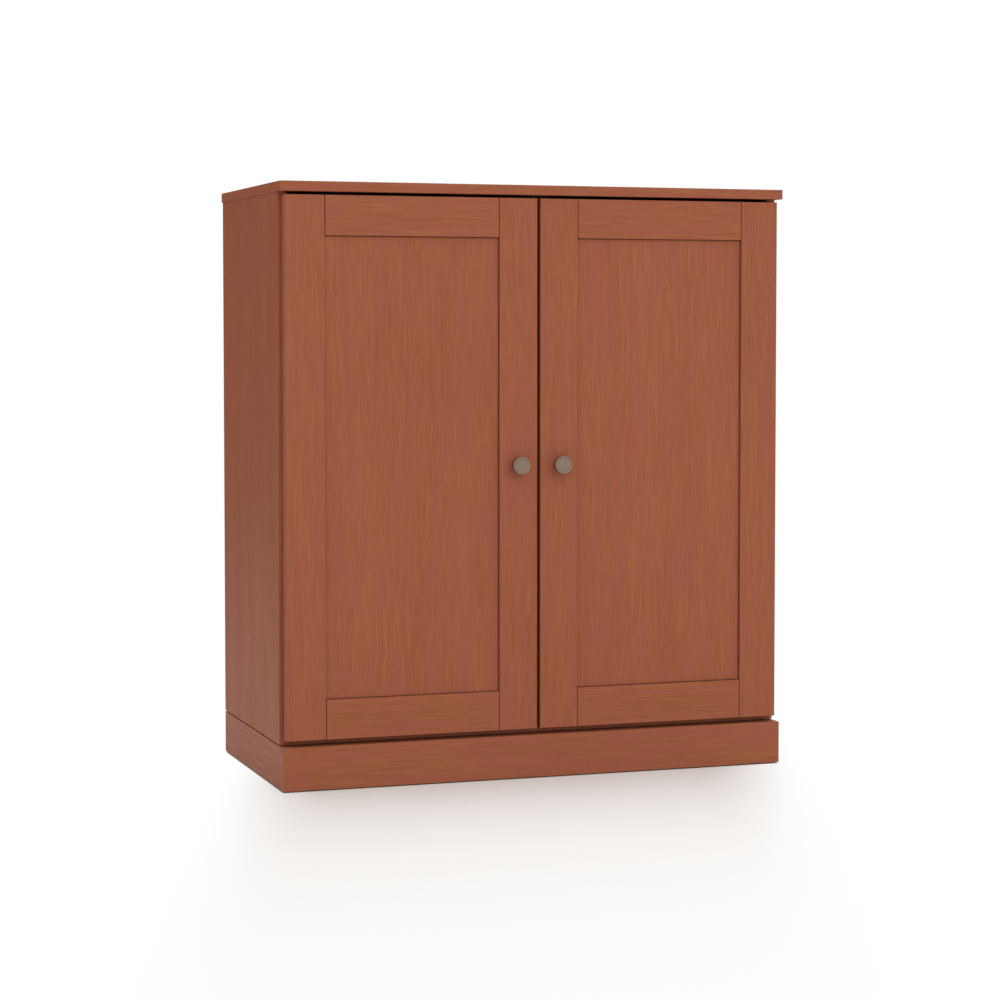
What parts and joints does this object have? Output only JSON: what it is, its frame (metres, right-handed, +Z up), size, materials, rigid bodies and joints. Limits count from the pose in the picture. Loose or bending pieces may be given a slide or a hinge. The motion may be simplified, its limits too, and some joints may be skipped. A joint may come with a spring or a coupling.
{
  "type": "linen cabinet",
  "caption": "Low stained-wood linen cabinet with framed doors on concealed hinges, round knobs, adjustable shelves, an overhanging top and a base skirt.",
  "frame": {"origin": "middle of the overall box, knobs included, at floor level", "axes": "+Z up, -Y out of the doors, +X to the right as seen from the front"},
  "size_m": [0.8128, 0.4102, 0.9081],
  "materials": {
    "cherry_wood": "satin cherry stain over fine straight grain",
    "inner_wood": "satin cherry stain inside the case",
    "frame_wood": "plain sawn softwood, unseen",
    "back_board": "thin hardboard with a stained face",
    "beech": "plain fluted beech",
    "knob_metal": "satin pewter plating",
    "hinge_steel": "nickel plated steel",
    "zinc_fasteners": "zinc plated steel",
    "cam_metal": "die-cast zinc",
    "catch_plastic": "brown moulded plastic",
    "magnet": "dark ceramic magnet",
    "bumper_felt": "soft brown pad"
  },
  "bodies": {
    "cabinet": {"back_panel": "back_board", "back_panel_nails": "zinc_fasteners", "bottom_panel": "inner_wood", "cam_bolts": "cam_metal", "cam_locks": "cam_metal", "catch_magnets": "magnet", "catch_screws": "zinc_fasteners", "dowels": "beech", "front_plinth_batten": "cherry_wood", "front_plinth_board": "cherry_wood", "hinge_arm_screws": "zinc_fasteners", "hinge_plate_screws": "zinc_fasteners", "left_lower_hinge_arm": "hinge_steel", "left_lower_hinge_plate": "hinge_steel", "left_plinth_board": "cherry_wood", "left_side_panel": "cherry_wood", "left_upper_hinge_arm": "hinge_steel", "left_upper_hinge_plate": "hinge_steel", "lower_shelf": "inner_wood", "magnetic_catch": "catch_plastic", "plinth_corner_blocks": "cherry_wood", "plinth_screws": "zinc_fasteners", "rear_plinth_rail": "frame_wood", "right_lower_hinge_arm": "hinge_steel", "right_lower_hinge_plate": "hinge_steel", "right_plinth_board": "cherry_wood", "right_side_panel": "cherry_wood", "right_upper_hinge_arm": "hinge_steel", "right_upper_hinge_plate": "hinge_steel", "shelf_pins": "zinc_fasteners", "top_panel": "cherry_wood", "upper_shelf": "inner_wood"},
    "left_door": {"left_door_bottom_rail": "cherry_wood", "left_door_bumpers": "bumper_felt", "left_door_hinge_stile": "cherry_wood", "left_door_knob": "knob_metal", "left_door_latch_stile": "cherry_wood", "left_door_panel": "cherry_wood", "left_door_top_rail": "cherry_wood", "left_hinge_cup_screws": "zinc_fasteners", "left_hinge_pins": "hinge_steel", "left_knob_screw": "zinc_fasteners", "left_lower_hinge_cup": "hinge_steel", "left_strike_plate": "hinge_steel", "left_strike_screw": "zinc_fasteners", "left_upper_hinge_cup": "hinge_steel"},
    "right_door": {"right_door_bottom_rail": "cherry_wood", "right_door_bumpers": "bumper_felt", "right_door_hinge_stile": "cherry_wood", "right_door_knob": "knob_metal", "right_door_latch_stile": "cherry_wood", "right_door_panel": "cherry_wood", "right_door_top_rail": "cherry_wood", "right_hinge_cup_screws": "zinc_fasteners", "right_hinge_pins": "hinge_steel", "right_knob_screw": "zinc_fasteners", "right_lower_hinge_cup": "hinge_steel", "right_strike_plate": "hinge_steel", "right_strike_screw": "zinc_fasteners", "right_upper_hinge_cup": "hinge_steel"}
  },
  "joints": [
    {"name": "left_door_hinge", "type": "hinge", "parent": "cabinet", "child": "left_door", "pos_m": [-0.39082, -0.1754, 0.48157], "axis": [0, 0, -1], "range_deg": [0, 100]},
    {"name": "right_door_hinge", "type": "hinge", "parent": "cabinet", "child": "right_door", "pos_m": [0.39082, -0.1754, 0.48157], "axis": [0, 0, 1], "range_deg": [0, 100]}
  ]
}
